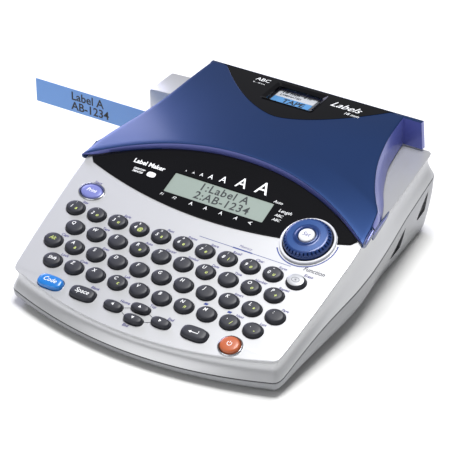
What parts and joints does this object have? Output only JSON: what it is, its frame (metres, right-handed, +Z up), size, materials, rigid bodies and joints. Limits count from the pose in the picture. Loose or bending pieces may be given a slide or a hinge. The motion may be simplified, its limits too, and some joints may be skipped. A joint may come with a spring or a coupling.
{
  "type": "label maker",
  "caption": "Desktop label maker: tilted keyboard with a jog dial and display, a hinged lid over the tape cassette, and a printed tape coming out on the left.",
  "frame": {"origin": "on the lower case's flat underside, under the middle of the body; the feet stand 1.2 mm below it", "axes": "+X to the right along the key rows, +Y to the back, +Z up"},
  "size_m": [0.293, 0.24, 0.083],
  "materials": {
    "silver_plastic": "satin silver paint on moulded plastic",
    "grey_plastic": "satin darker silver",
    "blue_gloss": "metallic blue under a clear gloss coat",
    "black_gloss": "piano black",
    "smoked_window": "clear tinted window",
    "lcd": "grey-green liquid crystal display",
    "key_black": "fine satin",
    "key_silver": "satin",
    "key_lavender": "satin gloss",
    "key_blue": "gloss",
    "key_orange": "gloss",
    "bright_rim": "plated",
    "dial_blue": "gloss",
    "white_plastic": "satin gloss",
    "inner_plastic": "moulded, unpainted",
    "gear_plastic": "acetal",
    "roller_rubber": "ground",
    "foot_rubber": "moulded",
    "steel": "bright",
    "brass": "turned",
    "board_green": "solder mask",
    "ceramic": "glazed",
    "cassette_plastic": "moulded",
    "tape_blue": "laminated tape",
    "encoder_plastic": "moulded"
  },
  "bodies": {
    "base": {"battery_contact_left": "steel", "battery_contact_right": "steel", "cassette_bay": "inner_plastic", "cassette_lower": "cassette_plastic", "cassette_upper": "cassette_plastic", "dc_inlet": "black_gloss", "dial_encoder": "encoder_plastic", "dial_ring": "white_plastic", "display_panel": "black_gloss", "feed_motor": "steel", "fixed_blade": "steel", "foot_front_left": "foot_rubber", "foot_front_right": "foot_rubber", "foot_rear_left": "foot_rubber", "foot_rear_right": "foot_rubber", "heat_sink": "steel", "hinge_pin_left": "steel", "hinge_pin_right": "steel", "inner_tape": "tape_blue", "keypad": "key_black", "label_tape": "tape_blue", "lcd_module": "lcd", "lower_case": "grey_plastic", "main_board": "board_green", "power_key_rim": "bright_rim", "print_head": "ceramic", "print_key_rim": "bright_rim", "roller_holder": "inner_plastic", "tape_exit_housing": "silver_plastic", "upper_case": "silver_plastic", "usb_port": "steel"},
    "lid": {"lid": "blue_gloss", "lid_window": "smoked_window"},
    "battery_cover": {"battery_cover": "grey_plastic"},
    "dial": {"dial": "dial_blue"},
    "set_button": {"set_button": "white_plastic"},
    "motor_pinion": {"motor_pinion": "brass"},
    "reduction_gear": {"reduction_gear": "gear_plastic"},
    "idler_gear": {"idler_gear": "gear_plastic"},
    "ribbon_spindle": {"ribbon_spindle": "gear_plastic"},
    "platen_roller": {"platen_roller": "roller_rubber"},
    "feed_roller": {"feed_roller": "roller_rubber"},
    "tape_spool": {"tape_spool": "tape_blue"},
    "ribbon_supply_spool": {"ribbon_supply_spool": "inner_plastic"},
    "ribbon_take_up_spool": {"ribbon_take_up_spool": "inner_plastic"},
    "cutter_gear": {"cutter_gear": "gear_plastic"},
    "moving_blade": {"moving_blade": "steel"},
    "alt_key": {"alt_key": "key_black"},
    "clear_key": {"clear_key": "key_silver"},
    "code_key": {"code_key": "key_blue"},
    "down_key": {"down_key": "key_black"},
    "enter_key": {"enter_key": "key_black"},
    "left_key": {"left_key": "key_black"},
    "power_key": {"power_key": "key_orange"},
    "print_key": {"print_key": "key_lavender"},
    "right_key": {"right_key": "key_black"},
    "shift_key": {"shift_key": "key_black"},
    "space_key": {"space_key": "key_black"},
    "up_key": {"up_key": "key_black"}
  },
  "joints": [
    {"name": "lid_hinge", "type": "hinge", "parent": "base", "child": "lid", "pos_m": [0, 0.1134, 0.0654], "axis": [-1, 0, 0], "range_deg": [0, 75]},
    {"name": "battery_cover_slide", "type": "slide", "parent": "base", "child": "battery_cover", "axis": [0, 1, 0], "range_m": [0, 0.01]},
    {"name": "alt_key_press", "type": "slide", "parent": "base", "child": "alt_key", "axis": [0, 0.342, -0.9397], "range_m": [0, 0.0012], "stiffness_N_per_m": 400},
    {"name": "clear_key_press", "type": "slide", "parent": "base", "child": "clear_key", "axis": [0, 0.342, -0.9397], "range_m": [0, 0.0012], "stiffness_N_per_m": 400},
    {"name": "code_key_press", "type": "slide", "parent": "base", "child": "code_key", "axis": [0, 0.342, -0.9397], "range_m": [0, 0.0012], "stiffness_N_per_m": 400},
    {"name": "down_key_press", "type": "slide", "parent": "base", "child": "down_key", "axis": [0, 0.342, -0.9397], "range_m": [0, 0.0012], "stiffness_N_per_m": 400},
    {"name": "enter_key_press", "type": "slide", "parent": "base", "child": "enter_key", "axis": [0, 0.342, -0.9397], "range_m": [0, 0.0012], "stiffness_N_per_m": 400},
    {"name": "left_key_press", "type": "slide", "parent": "base", "child": "left_key", "axis": [0, 0.342, -0.9397], "range_m": [0, 0.0012], "stiffness_N_per_m": 400},
    {"name": "power_key_press", "type": "slide", "parent": "base", "child": "power_key", "axis": [0, 0.342, -0.9397], "range_m": [0, 0.0012], "stiffness_N_per_m": 400},
    {"name": "print_key_press", "type": "slide", "parent": "base", "child": "print_key", "axis": [0, 0.342, -0.9397], "range_m": [0, 0.0008], "stiffness_N_per_m": 400},
    {"name": "right_key_press", "type": "slide", "parent": "base", "child": "right_key", "axis": [0, 0.342, -0.9397], "range_m": [0, 0.0012], "stiffness_N_per_m": 400},
    {"name": "shift_key_press", "type": "slide", "parent": "base", "child": "shift_key", "axis": [0, 0.342, -0.9397], "range_m": [0, 0.0012], "stiffness_N_per_m": 400},
    {"name": "space_key_press", "type": "slide", "parent": "base", "child": "space_key", "axis": [0, 0.342, -0.9397], "range_m": [0, 0.0012], "stiffness_N_per_m": 400},
    {"name": "up_key_press", "type": "slide", "parent": "base", "child": "up_key", "axis": [0, 0.342, -0.9397], "range_m": [0, 0.0012], "stiffness_N_per_m": 400},
    {"name": "set_button_press", "type": "slide", "parent": "base", "child": "set_button", "axis": [0, 0.342, -0.9397], "range_m": [0, 0.001], "stiffness_N_per_m": 400},
    {"name": "dial_turn", "type": "hinge", "parent": "base", "child": "dial", "pos_m": [0.071, -0.01874, 0.057], "axis": [0, -0.342, 0.9397], "continuous": true},
    {"name": "reduction_spin", "type": "hinge", "parent": "base", "child": "reduction_gear", "pos_m": [-0.06685, 0.05699, 0.045], "axis": [0, 0, 1], "continuous": true},
    {"name": "pinion_spin", "type": "hinge", "parent": "base", "child": "motor_pinion", "pos_m": [-0.06685, 0.07149, 0.045], "axis": [0, 0, 1], "continuous": true},
    {"name": "idler_spin", "type": "hinge", "parent": "base", "child": "idler_gear", "pos_m": [-0.04736, 0.04477, 0.045], "axis": [0, 0, 1], "continuous": true},
    {"name": "spindle_spin", "type": "hinge", "parent": "base", "child": "ribbon_spindle", "pos_m": [-0.036, 0.06, 0.045], "axis": [0, 0, 1], "continuous": true},
    {"name": "platen_spin", "type": "hinge", "parent": "base", "child": "platen_roller", "pos_m": [-0.0605, 0.0434, 0.045], "axis": [0, 0, 1], "continuous": true},
    {"name": "feed_spin", "type": "hinge", "parent": "base", "child": "feed_roller", "pos_m": [-0.075, 0.0444, 0.045], "axis": [0, 0, 1], "continuous": true},
    {"name": "take_up_spin", "type": "hinge", "parent": "base", "child": "ribbon_take_up_spool", "pos_m": [-0.036, 0.06, 0.045], "axis": [0, 0, 1], "continuous": true},
    {"name": "tape_spool_spin", "type": "hinge", "parent": "base", "child": "tape_spool", "pos_m": [0.008, 0.08, 0.045], "axis": [0, 0, 1], "continuous": true},
    {"name": "ribbon_supply_spin", "type": "hinge", "parent": "base", "child": "ribbon_supply_spool", "pos_m": [-0.033, 0.092, 0.045], "axis": [0, 0, 1], "continuous": true},
    {"name": "cutter_turn", "type": "hinge", "parent": "base", "child": "cutter_gear", "pos_m": [-0.0814, 0.031, 0.053], "axis": [1, 0, 0], "range_deg": [0, 90]},
    {"name": "blade_swing", "type": "hinge", "parent": "base", "child": "moving_blade", "pos_m": [-0.0837, 0.0446, 0.049], "axis": [-1, 0, 0], "range_deg": [0, 22]}
  ],
  "couplings": [
    {"joint": "pinion_spin", "follows": "reduction_spin", "ratio": -2.2222},
    {"joint": "idler_spin", "follows": "reduction_spin", "ratio": -0.76923},
    {"joint": "spindle_spin", "follows": "reduction_spin", "ratio": 1.6667},
    {"joint": "take_up_spin", "follows": "reduction_spin", "ratio": 1.6667},
    {"joint": "platen_spin", "follows": "reduction_spin", "ratio": -2},
    {"joint": "feed_spin", "follows": "reduction_spin", "ratio": -2},
    {"joint": "blade_swing", "follows": "cutter_turn", "ratio": 0.24444}
  ]
}
